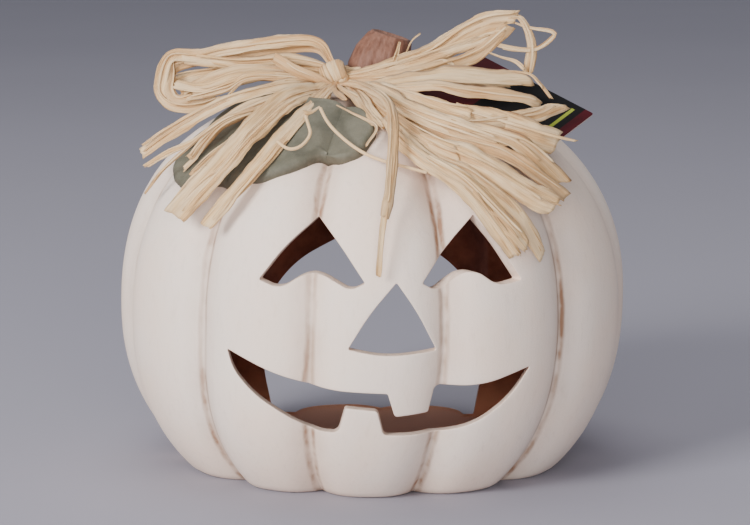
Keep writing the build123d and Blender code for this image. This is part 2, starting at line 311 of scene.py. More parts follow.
class Soup:
    """Points and faces gathered before they are welded."""

    def __init__(self):
        self.points, self.faces, self.values, self.count = [], [], [], 0

    def add(self, points, faces, values):
        """values holds one row of vertex attributes for each point."""
        self.points.append(points)
        self.values.append(values)
        self.faces += [[i + self.count for i in face] for face in faces]
        self.count += len(points)

    def weld(self):
        points, values = np.concatenate(self.points), np.concatenate(self.values)
        keys = np.round(points / WELD_DISTANCE).astype(np.int64)
        _, first, same = np.unique(keys, axis=0, return_index=True, return_inverse=True)
        same = same.reshape(-1).tolist()
        faces = [list(dict.fromkeys(same[i] for i in face)) for face in self.faces]
        return points[first], [face for face in faces if len(face) > 2], values[first]


def latitude_rows(count, wall):
    """Latitudes evenly spaced along the wall from foot to crown."""
    low = FOOT_LATITUDE if wall == 0.0 else float(latitude_at(FLOOR, wall))
    fine = np.linspace(low, CROWN_END, 2000)
    points = body_points(np.full(2000, 0.5), fine, wall)
    length = distances(points)
    even = np.linspace(FOOT_ROWS[-1], length[-1], count - len(FOOT_ROWS) + 1)
    return np.interp(np.concatenate([FOOT_ROWS[:-1], even]), length, fine), (fine, length)


def lobe_columns(per_lobe):
    """Lobe coordinates, closer together beside each groove."""
    even = np.arange(per_lobe) / per_lobe
    eased = even - 0.55 * np.sin(2 * np.pi * even) / (2 * np.pi)
    return np.concatenate([eased + lobe for lobe in range(LOBES)])


def groove_distance(lobe, latitude):
    """Distance along the wall from the nearest groove, in millimetres."""
    across = lobe - np.floor(lobe)
    index = np.floor(lobe).astype(int) % LOBES
    radius = BODY_RADIUS * np.cos(np.radians(latitude)) ** POWER
    width = np.radians(LOBE_WIDTHS[index]) * radius
    return np.minimum(across, 1.0 - across) * width


def wall_values(lobe, latitude, inside, cut=0.0):
    """Vertex attributes: distance from a groove, inside, on a cut."""
    lobe, latitude = np.broadcast_arrays(lobe, latitude)
    return np.stack([groove_distance(lobe, latitude), np.full(lobe.shape, float(inside)),
                     np.full(lobe.shape, float(cut))], -1).reshape(-1, 3)


def inside_loop(points, loop):
    """Whether each 2-D point is inside a closed loop."""
    x, y = points[:, 0][:, None], points[:, 1][:, None]
    ax, ay = loop[:, 0][None], loop[:, 1][None]
    bx, by = np.roll(loop, -1, 0)[:, 0][None], np.roll(loop, -1, 0)[:, 1][None]
    crosses = ((ay > y) != (by > y)) & (x < (bx - ax) * (y - ay) / (by - ay + 1e-12) + ax)
    return np.sum(crosses, 1) % 2 == 1


def triangulate(points, loops):
    """Delaunay triangles of flat points, with the loops' edges kept and their insides left out."""
    everything = [Vector((float(p[0]), float(p[1]))) for p in points]
    edges = []
    for loop in loops:
        start = len(everything)
        everything += [Vector((float(p[0]), float(p[1]))) for p in loop]
        edges += [(start + i, start + (i + 1) % len(loop)) for i in range(len(loop))]
    found, _, faces, _, _, _ = geometry.delaunay_2d_cdt(everything, edges, [], 0, 1e-6)
    found = np.array([tuple(v) for v in found])
    faces = np.array([f for f in faces if len(f) == 3])
    middles = found[faces].mean(1)
    keep = np.ones(len(faces), bool)
    for loop in loops:
        keep &= ~inside_loop(middles, np.asarray(loop))
    return found, faces[keep]


def wall_sheet(soup, wall, per_lobe, row_count, patches, inside):
    """One side of the wall: quads, with triangulated patches round the cuts."""
    rows, (fine, length) = latitude_rows(row_count, wall)

    def flat(lobe, lat):
        return np.stack([lobe * PATCH_LOBE_WIDTH, np.interp(lat, fine, length)], -1)

    columns = lobe_columns(per_lobe)
    grid_lobe, grid_lat = np.meshgrid(columns, rows)
    keep = np.ones((row_count - 1, len(columns)), bool)
    for (low_lobe, high_lobe, low_z, high_z), loops in patches:
        first = int(np.argmin(np.abs(columns - low_lobe)))
        last = int(np.argmin(np.abs(columns - high_lobe)))
        bottom = max(1, int(np.argmin(np.abs(rows - float(latitude_at(low_z, wall))))))
        top = int(np.argmin(np.abs(rows - float(latitude_at(high_z, wall)))))
        keep[bottom:top, first:last] = False
        flat_loops = [flat(lobe, lat) for lobe, lat in loops]
        window = slice(bottom, top + 1), slice(first, last + 1)
        inner = flat(grid_lobe[window], grid_lat[window])
        border = np.ones(inner.shape[:2], bool)
        border[1:-1, 1:-1] = False
        inner = inner.reshape(-1, 2)
        free = np.ones(len(inner), bool)
        for loop in flat_loops:
            gap = np.min(np.linalg.norm(inner[:, None] - loop[None], axis=2), axis=1)
            free &= (gap > PATCH_GAP) & ~inside_loop(inner, loop)
        free |= border.reshape(-1)
        found, faces = triangulate(inner[free], flat_loops)
        lobe, lat = found[:, 0] / PATCH_LOBE_WIDTH, np.interp(found[:, 1], length, fine)
        turned = faces[:, ::-1] if inside else faces
        soup.add(body_points(lobe, lat, wall), turned.tolist(), wall_values(lobe, lat, inside))
    width = len(columns)
    quads = ring_faces(row_count, width, inside)
    faces = [quad for quad, kept in zip(quads, keep.reshape(-1)) if kept]
    points = body_points(grid_lobe, grid_lat, wall).reshape(-1, 3)
    soup.add(points, faces, wall_values(grid_lobe.reshape(-1), grid_lat.reshape(-1), inside))
    foot, crown = points[:width], points[-width:]
    close_ring(soup, crown, (1.0,), crown.mean(0), inside, not inside)
    close_ring(soup, foot, DISC_SHARES, np.array([0.0, 0.0, foot[:, 2].mean()]), inside, inside)


def close_ring(soup, ring, shares, centre, inside, upwards):
    """Closes the crown, the foot or the floor: rings that shrink level to the middle."""
    count = len(ring)
    rings = [ring] + [np.column_stack([ring[:, :2] * share, np.full(count, centre[2])])
                      for share in shares[1:]]
    last, middle = (len(shares) - 1) * count, len(shares) * count
    faces = ring_faces(len(shares), count)
    faces += [[last + j, last + (j + 1) % count, middle] for j in range(count)]
    if not upwards:
        faces = [face[::-1] for face in faces]
    points = np.concatenate(rings + [centre[None]])
    soup.add(points, faces, np.tile([GROOVE_FAR, float(inside), 0.0], (len(points), 1)))


def cut_wall(soup, corners, back, drift):
    """The wall of one cut, with both of its edges rounded. Returns its outer and inner loops."""
    loop = rounded_outline(corners)
    normal = outline_normals(loop)
    inward = np.array([0.0, -1.0 if back else 1.0, 0.0])

    def outer(offset):
        x, z = (loop + normal * offset).T
        lobe, latitude = locate(x, z, 0.0, back)
        return lobe, latitude, body_points(lobe, latitude)

    def inner(offset):
        x, z = (loop + normal * (offset + CUT_RAKE)).T
        lobe, latitude = locate(x + drift, np.maximum(z, FLOOR + FLOOR_LIP), WALL, back)
        return lobe, latitude, body_points(lobe, latitude, WALL)

    near_rings, far_rings = [], []
    for degree in (0, 30, 60, 90):
        turn = math.radians(degree)
        retreat, sink = EDGE_ROUNDING * (1 - math.sin(turn)), EDGE_ROUNDING * (1 - math.cos(turn))
        near_rings.append(outer(retreat)[2] + inward * sink)
        far_rings.append(inner(retreat)[2] - inward * sink)
    across = far_rings[-1] - near_rings[-1]
    between = [near_rings[-1] + across * share for share in (0.33, 0.67)]
    rings = near_rings + between + far_rings[::-1]
    outer_lobe, outer_lat, _ = outer(EDGE_ROUNDING)
    values = [wall_values(outer_lobe, outer_lat, inside, cut) for inside, cut in CUT_MARKS]
    soup.add(np.concatenate(rings), ring_faces(len(rings), len(loop), back), np.concatenate(values))
    return (outer_lobe, outer_lat), inner(EDGE_ROUNDING)[:2]


def make_shell():
    soup = Soup()
    loops = {False: [], True: []}  # the cuts' outer and inner loops, in the front and in the back
    for corners, back, drift in CUTS:
        loops[back].append(cut_wall(soup, corners, back, drift))
    for side, (wall, per_lobe, rows) in enumerate(((0.0, COLUMNS_PER_LOBE, OUTER_ROWS),
                                                   (WALL, COLUMNS_PER_LOBE // 2, INNER_ROWS))):
        patches = [(FRONT_PATCH, [pair[side] for pair in loops[False]]),
                   (BACK_PATCH, [pair[side] for pair in loops[True]])]
        wall_sheet(soup, wall, per_lobe, rows, patches, side)
    points, faces, values = soup.weld()
    shell = new_object("ceramic_shell", points, faces)
    add_attributes(shell, values, "groove", "inside", "cut")
    place(shell, bisque_cream(), "pumpkin_shell")


# ---------------------------------------------------------------- raffia
KNOT_CENTRE = np.array([-19.0, -18.0, 195.0])
KNOT_DEPTH, KNOT_RISE = 6.5, 7.0  # the knot's radii front to back and up
KNOT_WRAPS = 6
KNOT_START, KNOT_PITCH, KNOT_REACH = -4.8, 1.9, 9.5  # the wraps' first place, spacing and limit
STRAND_STEP = 1.6  # spacing of a strip's rows
ACROSS = 7  # points across a strip
STRIP_THICKNESS = 0.32
NECK_WIDTH = 0.42  # a strip's width at the knot, as a share of its full width
NECK_REACH = 26.0
CLEARANCE = 4.5  # strips stay this far off the body, or over the leaf
BROADEN = 1.4  # strips open out wider than they lie in the knot
SHREDS = 2  # thin shreds beside each broad strip
TONE_SHIFT = 50.0  # sets each strip's fibres apart from the next strip's
TURN = 0.25  # radians by which a strip rolls about its length
RIPPLE, RIPPLE_LENGTH = 0.035, 16.0  # fine ripples: share of a strip's width, and length
TIP_NARROWING = 0.2
TIP_RAGGED = 4.0  # length over which a strip's end is ragged
WAVE_SHARES = (1.0, 0.47, 0.23)
THREAD = 1.6
TIE_STRAND = 2.0

# Each strip: width, whether its flat side faces the front, and its route from the knot
STRIPS = {
    "left_loop": [
        (5.5, True, [(-19, -15, 196), (-35, -13, 200), (-55, -10, 199.5), (-75, -9, 196),
         (-90, -9, 193), (-99, -10, 190)]),
        (4.5, True, [(-19, -16, 195), (-36, -15, 195), (-56, -13, 194.5), (-76, -12, 190.5),
         (-92, -12, 186)]),
        (4.5, True, [(-19, -17, 200), (-26, -16, 210.5), (-40, -14, 212), (-72.5, -12, 207.5),
         (-86, -12, 204.5), (-100.5, -12, 203.5), (-105, -18, 189.5), (-101.5, -21, 182.5),
         (-94, -24, 180.5), (-84, -25, 181), (-75, -26, 184.5)]),
        (4, True, [(-19.5, -16, 198.5), (-27, -14, 207.5), (-41, -12, 208.5), (-72, -10, 204),
         (-99, -11, 198), (-100, -18, 184), (-90, -22, 182.5)]),
        (4, True, [(-93, -11, 203.5), (-99, -12, 202.5), (-99.5, -15, 195), (-100, -20, 188),
         (-97, -23, 184), (-90, -25, 185)]),
        (4.2, True, [(-19, -17, 197), (-25, -20, 194), (-35, -20, 196.5), (-57, -20, 198),
         (-72.5, -20, 196.5), (-95, -20, 187)]),
        (4.6, True, [(-19.5, -16, 197.5), (-27, -16, 201), (-43.5, -15, 203), (-65, -14, 201),
         (-94.5, -12, 203.5)]),
        (4, False, [(-18.5, -20, 193.5), (-36, -24, 196), (-51.5, -26, 197), (-68.5, -26, 195),
         (-84, -25, 190), (-97.5, -22, 191.5)]),
        (3.6, False, [(-18.5, -21, 192.5), (-47.5, -27, 195.5), (-62.5, -28, 195),
         (-72, -28, 189.5), (-91.5, -25, 184.5)]),
        (4.2, True, [(-16.5, -24, 188.5), (-26.5, -27, 194), (-38.5, -25, 198.5), (-49, -20, 204)]),
    ],
    "left_tail_back": [
        (5.2, False, [(-19, -18, 193), (-35, -26, 192.5), (-47.5, -31, 191), (-72, -36, 184),
         (-98, -36, 169.5), (-113.5, -33, 158)]),
        (2.4, False, [(-18.5, -20, 191), (-35.5, -32, 189), (-51, -38, 186), (-64.5, -41, 181.5),
         (-86.5, -42, 166), (-99, -40, 160), (-111, -37, 152.5)]),
        (1, False, [(-56.5, -20, 198.5), (-60.5, -25, 195.5), (-68, -31, 189.5), (-74, -35, 182)]),
    ],
    "left_tail_upper": [
        (4, False, [(-19, -20, 191.5), (-33, -34, 190.5), (-47, -42, 186.5), (-60.5, -47, 181.5),
         (-73, -50, 175), (-82, -52, 166.5), (-88.5, -52, 157.5)]),
        (2.2, False, [(-19, -22, 190.5), (-35.5, -38, 186), (-54, -48, 182.5), (-71.5, -54, 176),
         (-80, -57, 167.5), (-90, -57, 153)]),
    ],
    "left_tail_short": [
        (3.8, False, [(-18.5, -20, 189), (-35.5, -40, 186.5), (-49.5, -56, 180.5),
         (-63.5, -66, 171), (-76, -70, 161), (-85, -68, 152)]),
        (1.3, False, [(-35.5, -40, 187.5), (-53.5, -54, 183.5), (-71, -62, 179), (-88, -63, 166),
         (-101.5, -57, 153.5), (-111, -49, 141)]),
    ],
    "left_tail_wide": [
        (8.6, False, [(-18.5, -21, 189), (-30.5, -40, 189.5), (-42.5, -56, 186.5),
         (-58.5, -74, 173.5), (-70.5, -84, 160.5), (-82.5, -88, 148), (-94, -87, 135.5)]),
        (3, False, [(-19, -20, 189.5), (-35.5, -40, 189.5), (-46.5, -56, 185.5),
         (-61.5, -71, 173.5), (-74.5, -79, 161), (-86, -82, 151), (-95.5, -82, 139.5)]),
    ],
    "left_tail_front": [
        (5.2, False, [(-17.5, -22, 187), (-26.5, -50, 184), (-41.5, -75, 173.5),
         (-54, -90, 160.5), (-66, -98, 147), (-78.5, -100, 132.5)]),
        (2, False, [(-18, -24, 187.5), (-22.5, -50, 183.5), (-27.5, -60, 181.5),
         (-33, -64, 182.5)]),
        (2.2, False, [(-18, -24, 186.5), (-28.5, -56, 181.5), (-40.5, -78, 170.5),
         (-52.5, -91, 158), (-62.5, -97, 148.5), (-71, -98, 141)]),
    ],
    "right_loop": [
        (5.4, True, [(-14, -18, 195), (3.5, -24, 199), (28, -21, 207.5), (45, -19, 217.5),
         (57.5, -18, 223), (71, -18, 224)]),
        (4.6, True, [(-14, -19, 194), (6, -27, 197), (29, -25, 203.5), (53.5, -20, 216.5),
         (64, -20, 219)]),
        (4.8, True, [(-13.5, -20, 193), (-4.5, -26, 194), (7.5, -30, 195), (19, -31, 197.5),
         (31.5, -29, 200), (50.5, -25, 206), (67, -20, 220)]),
        (3.8, True, [(66.5, -18, 224), (73, -18, 223), (78, -21, 211), (76, -28, 197.5)]),
        (1.5, True, [(66.5, -18, 222.5), (76.5, -19, 219), (87, -20, 217.5), (89, -21, 215),
         (80.5, -23, 209), (69.5, -23, 209), (57.5, -22, 211.5)]),
        (1.3, True, [(56, -24, 207.5), (63, -26, 205), (69.5, -28, 203), (74, -31, 199.5)]),
        (7.6, False, [(-13.5, -22, 192.5), (-1.5, -32, 192.5), (13, -39, 195.5),
         (27.5, -42, 197.5), (39, -41, 198.5), (55.5, -38, 197), (76, -31, 196)]),
        (1.4, False, [(62, -30, 199), (76, -31, 197.5), (82, -34, 192.5), (87, -38, 186)]),
    ],
    "right_loop_inner": [
        (4.2, True, [(-13.5, -20, 195), (-2.5, -25, 197), (13, -27, 201), (40, -24, 209),
         (61.5, -20, 216)]),
        (2.3, True, [(13, -21, 212), (12, -23, 206.5), (10, -25, 200)]),
        (0.8, True, [(14.5, -22, 202.5), (17, -18, 208), (19.5, -15, 212.5), (23.5, -13, 215.5)]),
    ],
    "right_tail_upper": [
        (4.8, False, [(-13.5, -24, 191.5), (1, -40, 191.5), (15.5, -50, 193), (31, -55, 194.5),
         (44, -57, 192), (60.5, -56, 190.5), (75, -53, 187.5), (81, -50, 184.5)]),
    ],
    "right_tail_curl": [
        (6.2, False, [(-13.5, -26, 192), (3.5, -44, 192), (18.5, -58, 189), (33, -68, 184.5),
         (46, -74, 181.5)]),
        (10.5, False, [(39, -68, 184.5), (52, -72, 180.5), (76, -76, 172.6), (88, -73, 168.5)]),
        (5.6, True, [(41.5, -76, 181.5), (50, -78, 179), (75, -68, 181), (90.5, -57, 185)]),
    ],
    "right_tail_wide": [
        (7.2, False, [(-12.5, -24, 191.5), (1.5, -46, 190), (14, -66, 185.5), (27, -80, 181),
         (41, -87, 176.5), (63.5, -91, 169.5)]),
        (6.4, False, [(36.5, -85, 180), (61, -90, 174), (72.5, -90, 168), (90, -85, 151)]),
        (5.4, False, [(-14, -26, 190), (3.5, -56, 184.5), (22.5, -80, 177.5), (36.5, -90, 173),
         (51, -94, 169.5), (63.5, -96, 165), (74, -96, 158.5), (91, -90, 144.5)]),
    ],
    "right_tail_long": [
        (7.4, False, [(-13.5, -24, 190.5), (-3.5, -46, 188), (6, -68, 183), (16.5, -84, 176),
         (28.5, -96, 169.5), (40, -101, 165)]),
        (8.4, False, [(22, -90, 174), (31.5, -96, 171), (52, -102, 162.5), (72, -102, 149),
         (86, -99, 142)]),
        (5, False, [(13, -86, 176.5), (31.5, -100, 165), (47.5, -106, 157), (67, -106, 140.5),
         (80, -100, 118)]),
    ],
    "right_tail_low": [
        (3, False, [(-17, -19, 189), (-16, -28, 186.5), (-12, -38, 183.5), (-7, -48, 181)]),
        (2.4, False, [(-16, -19, 188.5), (-18, -29, 186), (-17, -38, 184), (-13, -50, 182)]),
        (2.2, False, [(-14, -19, 189), (-10, -28, 187), (-5, -36, 185.5), (-1, -46, 182)]),
        (5.4, False, [(5, -78, 181), (12.5, -94, 172.5), (24, -104, 164), (43.5, -112, 150.5),
         (59, -113, 131), (66.5, -111, 120)]),
        (5.2, False, [(7, -78, 182), (20, -97, 169), (34, -107, 161), (45, -110, 154),
         (63, -111, 135), (72, -109, 124)]),
        (3.2, False, [(-14, -24, 189.5), (-11, -34, 188.5), (-7.5, -53, 185), (-2.5, -69, 180.5),
         (1.5, -78, 177)]),
        (3.2, False, [(-11.5, -28, 192), (-3.5, -54, 186), (-1, -64, 182), (5.5, -80, 176.5)]),
        (1, False, [(-17.5, -58, 185), (-10.5, -66, 182), (1.5, -80, 177.5), (-3, -93, 170)]),
    ],
    "centre_tail": [
        (3.8, False, [(-17, -24, 191.5), (-7.5, -40, 193.5), (7, -78, 189), (9.5, -103, 176),
         (8, -118, 153), (5.5, -123, 140)]),
        (2, False, [(-17, -24, 191.5), (3, -62, 191.5), (9, -92, 184), (9, -111, 165),
         (4, -126, 132), (2.5, -129, 113.5)]),
    ],
}
FRONT_TENDRIL = [
    (-25, -72, 185), (-22.5, -81, 180.5), (-17, -88, 175), (-8, -95, 168.5), (1, -100, 164.5),
    (13, -106, 162), (25, -108, 159)]
HOOK_TENDRIL = [
    (-32, -78, 182), (-30.5, -84, 178.5), (-29, -90, 174.5), (-34, -95, 169), (-41, -95.5, 168),
    (-45, -93, 172)]


def make_tendril(node, route):
    """A thin curly thread, free at both ends, drawn as one smooth curve."""
    name = node + "_raffia"
    curve = bpy.data.curves.new(name, "CURVE")
    curve.dimensions = "3D"
    spline = curve.splines.new("NURBS")
    spline.points.add(len(route) - 1)
    for point, (x, y, z) in zip(spline.points, route):
        point.co = (x * MM, y * MM, z * MM, 1.0)
    spline.order_u = 3
    spline.use_endpoint_u = True
    curve.bevel_depth = THREAD / 2 * MM
    curve.bevel_resolution = 3
    curve.resolution_u = 16
    curve.use_fill_caps = True
    tendril = bpy.data.objects.new(name, curve)
    bpy.context.scene.collection.objects.link(tendril)
    place(tendril, raffia_material, node)
    tendril_length(route)


def tendril_length(route):
    """Length in metres of the round strand that follows a route with the largest arcs."""
    points = np.array(route, float)
    runs = np.diff(points, axis=0)
    lengths = np.linalg.norm(runs, axis=1)
    total = lengths.sum()
    for i in range(len(runs) - 1):
        turn = math.acos(float(np.clip(runs[i] @ runs[i + 1] / lengths[i] / lengths[i + 1], -1, 1)))
        trim = 0.45 * min(lengths[i], lengths[i + 1])
        total += turn * trim / math.tan(turn / 2) - 2 * trim
    return float(total) * MM


def smooth_route(points, step=STRAND_STEP):
    """Evenly spaced points on a Catmull-Rom curve through the route, and their distances."""
    points = np.array(points, float)
    padded = np.concatenate([[2 * points[0] - points[1]], points, [2 * points[-1] - points[-2]]])
    share = np.linspace(0, 1, 24, endpoint=False)[:, None]
    fine = []
    for a, b, c, d in zip(padded, padded[1:], padded[2:], padded[3:]):
        fine.append(0.5 * (2 * b + (c - a) * share + (2 * a - 5 * b + 4 * c - d) * share ** 2
                           + (3 * b - a - 3 * c + d) * share ** 3))
    fine = np.concatenate(fine + [points[-1:]])
    length = distances(fine)
    even = np.linspace(0, length[-1], max(4, int(length[-1] / step) + 1))
    return resample(fine, length, even), even


def unit(vectors):
    return vectors / (np.linalg.norm(vectors, axis=-1, keepdims=True) + 1e-12)


def push_out(points, margin):
    """Points moved out to at least a margin from the body's smooth envelope."""
    radius = np.hypot(points[:, 0], points[:, 1])
    height = points[:, 2] - BELLY_HEIGHT
    inside = (radius / (BODY_RADIUS + margin)) ** FULLNESS
    inside = inside + (np.abs(height) / (BODY_HALF_HEIGHT + margin)) ** FULLNESS
    grow = np.clip(inside ** (-1.0 / FULLNESS), 1.0, None)[:, None]
    centre = np.array([0.0, 0.0, BELLY_HEIGHT])
    return centre + (points - centre) * grow


def wavy(rng, along, wavelength):
    """Smooth random wave of about unit size."""
    value = np.zeros_like(along)
    for share in WAVE_SHARES:
        phase = along / (wavelength * share) * 2 * math.pi + rng.uniform(0, 6.3)
        value = value + share * np.sin(phase)
    return value / sum(WAVE_SHARES)


def frames(middle, facing):
    """Facings and sides, square to a route's tangents."""
    tangent = unit(np.gradient(middle, axis=0))
    facing = unit(facing - tangent * np.sum(facing * tangent, 1, keepdims=True))
    return facing, np.cross(tangent, facing)


def ribbon(soup, middle, along, side, facing, half, lift, slide, tone):
    """Closed thin strip. lift and slide move each of its lines outwards and lengthways."""
    count = len(middle)
    tangent = unit(np.gradient(middle, axis=0))
    shares = np.linspace(-1, 1, ACROSS)
    lines = []
    for layer in (0.5, -0.5):
        for k, u in enumerate(shares):
            raised = lift[k] + layer * STRIP_THICKNESS * (1.0 - 0.75 * u ** 8)
            lines.append(middle + side * (half * u)[:, None] + facing * raised[:, None]
                         + tangent * slide[k][:, None])
    index = np.arange(2 * ACROSS * count).reshape(2 * ACROSS, count).tolist()
    loop = list(range(ACROSS)) + list(range(2 * ACROSS - 1, ACROSS - 1, -1))
    faces = []
    for i in range(count - 1):
        for here, after in zip(loop, loop[1:] + loop[:1]):
            faces.append([index[here][i], index[here][i + 1], index[after][i + 1], index[after][i]])
    for k in range(ACROSS - 1):
        corners = index[k], index[k + 1], index[ACROSS + k + 1], index[ACROSS + k]
        faces += [[line[0] for line in corners], [line[-1] for line in corners[::-1]]]
    shape = (2 * ACROSS, count)
    across = np.tile(shares, 2)[:, None]
    values = np.stack([across * half + TONE_SHIFT * tone, np.broadcast_to(along, shape),
                       np.full(shape, tone), np.broadcast_to(np.abs(across), shape)], -1)
    soup.add(np.stack(lines).reshape(-1, 3), faces, values.reshape(-1, 4))


def loose_strip(soup, route, width, front, rng):
    """Strip of dried palm leaf, curled, creased and rolled along its length, with a ragged end."""
    middle, along = smooth_route(route)
    middle = push_out(middle, CLEARANCE)
    total = along[-1]
    outward = np.tile([0.0, -1.0, 0.3], (len(middle), 1))
    if not front:
        outward = 0.75 * outward + 0.5 * unit(middle - [0.0, 12.0, 70.0])
    facing, side = frames(middle, outward)
    turn = TURN * wavy(rng, along, 70.0) + rng.uniform(-0.15, 0.15)
    cosine, sine = np.cos(turn)[:, None], np.sin(turn)[:, None]
    facing, side = facing * cosine + side * sine, side * cosine - facing * sine
    half = width / 2 * (1.0 + 0.1 * wavy(rng, along, 22.0))
    half = half * (NECK_WIDTH + (1 - NECK_WIDTH) * smooth_step(along, 0.0, NECK_REACH))
    half = half * (1 - TIP_NARROWING * smooth_step(along, total - rng.uniform(3, 9), total + 3.0))
    bend = width * (rng.uniform(-0.10, 0.12) + 0.06 * wavy(rng, along, 40.0))
    crease_at = rng.uniform(-0.5, 0.5)
    crease = width * rng.choice((-1, 1)) * rng.uniform(0.06, 0.2)
    slant = rng.uniform(-0.5, 0.5) * width
    lift, slide = [], []
    for u in np.linspace(-1, 1, ACROSS):
        ripple = RIPPLE * width * wavy(rng, along, RIPPLE_LENGTH)
        lift.append(bend * (u * u - 0.35) + crease * (0.35 - abs(u - crease_at)) + ripple)
        ragged = slant * u + rng.uniform(-0.6, 0.6)
        slide.append(np.exp(-((total - along) / TIP_RAGGED) ** 2) * ragged)
    ribbon(soup, middle, along, side, facing, half, lift, slide, rng.random())


def wound_strip(soup, points, width, rng, centre):
    """Strip wound tightly round a centre, slightly domed."""
    middle, along = smooth_route(points, 1.2)
    facing, side = frames(middle, middle - centre)
    crown = rng.uniform(0.3, 0.7)
    lift = [crown * (1 - u * u) + 0.12 * wavy(rng, along, 9.0) for u in np.linspace(-1, 1, ACROSS)]
    slide = np.zeros((ACROSS, len(along)))
    half = width / 2 * (1.0 + 0.12 * wavy(rng, along, 15.0))
    ribbon(soup, middle, along, side, facing, half, lift, slide, rng.random())


def raffia_object(node, soup):
    """One object of all the strips in a soup, standing for one strand of the CAD."""
    piece = new_object(node + "_raffia", np.concatenate(soup.points), soup.faces)
    add_attributes(piece, np.concatenate(soup.values), "across", "along", "tone", "edge")
    place(piece, raffia_material, node)


def shred_route(route, width, rng):
    """Route of a thin shred that has split off a strip and wanders beside it."""
    points = np.array(route, float)
    drift = np.array([rng.uniform(-1, 1), rng.uniform(-0.9, 0.1), rng.uniform(-1, 1)])
    drift = drift * width * 0.75
    grow = np.linspace(0.1, 1.0, len(points))[:, None]
    waver = np.array([[rng.uniform(-1, 1) for _ in range(3)] for _ in points]) * width * 0.16
    points = points + (drift + waver) * grow
    points[-1] = points[-2] + (points[-1] - points[-2]) * rng.uniform(0.35, 1.05)
    return points


def make_strips():
    for number, (node, strips) in enumerate(STRIPS.items()):
        soup = Soup()
        rng = random.Random(100 + number)
        for width, front, route in strips:
            loose_strip(soup, route, width * BROADEN, front, rng)
            for _ in range(SHREDS if width > 3.0 else 1):
                loose_strip(soup, shred_route(route, width, rng), rng.uniform(0.5, 1.5), front, rng)
        raffia_object(node, soup)


def make_knot():
    """Strips wound slantwise round the crossing of the bow."""
    soup = Soup()
    rng = random.Random(7)
    for wrap in range(KNOT_WRAPS):
        tilt = math.radians(24 + 7 * math.sin(wrap * 2.4))
        shift = KNOT_START + KNOT_PITCH * wrap
        squeeze = math.sqrt(1 - (shift / KNOT_REACH) ** 2)
        points = []
        for degree in range(-20, 372, 28):
            angle = math.radians(degree)
            depth = -math.cos(angle) * KNOT_DEPTH * squeeze
            rise = math.sin(angle) * KNOT_RISE * squeeze
            points.append(KNOT_CENTRE + [shift * math.cos(tilt) - rise * math.sin(tilt), depth,
                                         rise * math.cos(tilt) + shift * math.sin(tilt)])
        wound_strip(soup, points, rng.uniform(3.0, 4.4), rng, KNOT_CENTRE)
    raffia_object("bow_knot", soup)


def make_band():
    """Three strips wound round the stem, level with the knot."""
    soup = Soup()
    rng = random.Random(11)
    for height, width in BAND_STRIPS:
        points = []
        for degree in range(-140, 241, 20):
            x, y = stem_outline(height, math.radians(degree), BAND_GAP)
            points.append((x, y, height + 0.8 * math.sin(math.radians(degree) * 1.5 + height)))
        wound_strip(soup, points, width, rng, np.array([3.0, 0.0, height]))
    raffia_object("stem_band", soup)


def make_tie():
    """The tag's tie, a narrow rolled strip that goes through the card's hole and back."""
    soup = Soup()
    rng = random.Random(5)
    hole, normal = TAG_HOLE, TAG_NORMAL
    above, below = hole + normal * 5.0, hole - normal * 4.0
    route = [(-16, -16, 192.5), (4, -24.5, 193), (20, -28, 198.5), (32, -28, 203),
             above + [-1, 0, 3], above, hole, below, below + [-3, 2, -3], (28, -24, 188.5),
             (8, -23, 188), (-12, -20, 189)]
    middle, along = smooth_route(route, 1.0)
    facing, side = frames(middle, np.tile([0.3, -1.0, 0.4], (len(middle), 1)))
    lift = [np.full(len(along), 0.5 * (u * u - 0.4)) for u in np.linspace(-1, 1, ACROSS)]
    slide = np.zeros((ACROSS, len(along)))
    half = TIE_STRAND / 2 * (1.0 + 0.12 * wavy(rng, along, 15.0))
    ribbon(soup, middle, along, side, facing, half, lift, slide, 0.6)
    raffia_object("tag_tie", soup)


# ---------------------------------------------------------------- leaf
LEAF_RIM = [(-96, -42), (-93, -56), (-84, -67), (-71, -75.5), (-57, -87), (-44, -92), (-32, -90),
            (-23, -85.5), (-14, -91.5), (-4, -89.5), (1, -78), (-3, -63), (-14, -53), (-27, -45),
            (-37, -28), (-46, -9), (-60, -3), (-76, -11), (-89, -24)]
LEAF_MIDDLE = np.array([-48.0, -55.0])
LEAF_THICKNESS = 3.4
LEAF_ROUNDING = 2.4
LEAF_SOFTNESS = 0.6  # how much of the body's grooves show through the leaf
LEAF_SPOKES = 240
LEAF_RINGS = 60
LEAF_SWELL = 3.0  # extra thickness towards the stem
LEAF_SINK = 0.4  # depth of its underside in the body
MIDRIB_START, MIDRIB_END = np.array([-22.0, -50.0]), np.array([-90.0, -64.0])
VEIN_SPACING = 15.0


def leaf_rim():
    """Closed smooth rim, evenly spaced, with the slight waver of hand trimming."""
    curve = smooth_route([(x, y, 0.0) for x, y in LEAF_RIM + LEAF_RIM[:3]], 0.5)[0][:, :2]
    away = np.linalg.norm(curve - LEAF_RIM[1], axis=1)  # the loop runs from this corner back to it
    first, last = np.argmin(away[:60]), len(curve) - 60 + np.argmin(away[-60:])
    loop = curve[first:last]
    length = distances(loop)
    even = np.linspace(0, length[-1], LEAF_SPOKES, endpoint=False)
    rim = resample(loop, length, even)
    waver = 0.5 * np.sin(even / 6.1) + 0.35 * np.sin(even / 2.7 + 1.0)
    return rim + unit(rim - LEAF_MIDDLE) * waver[:, None]


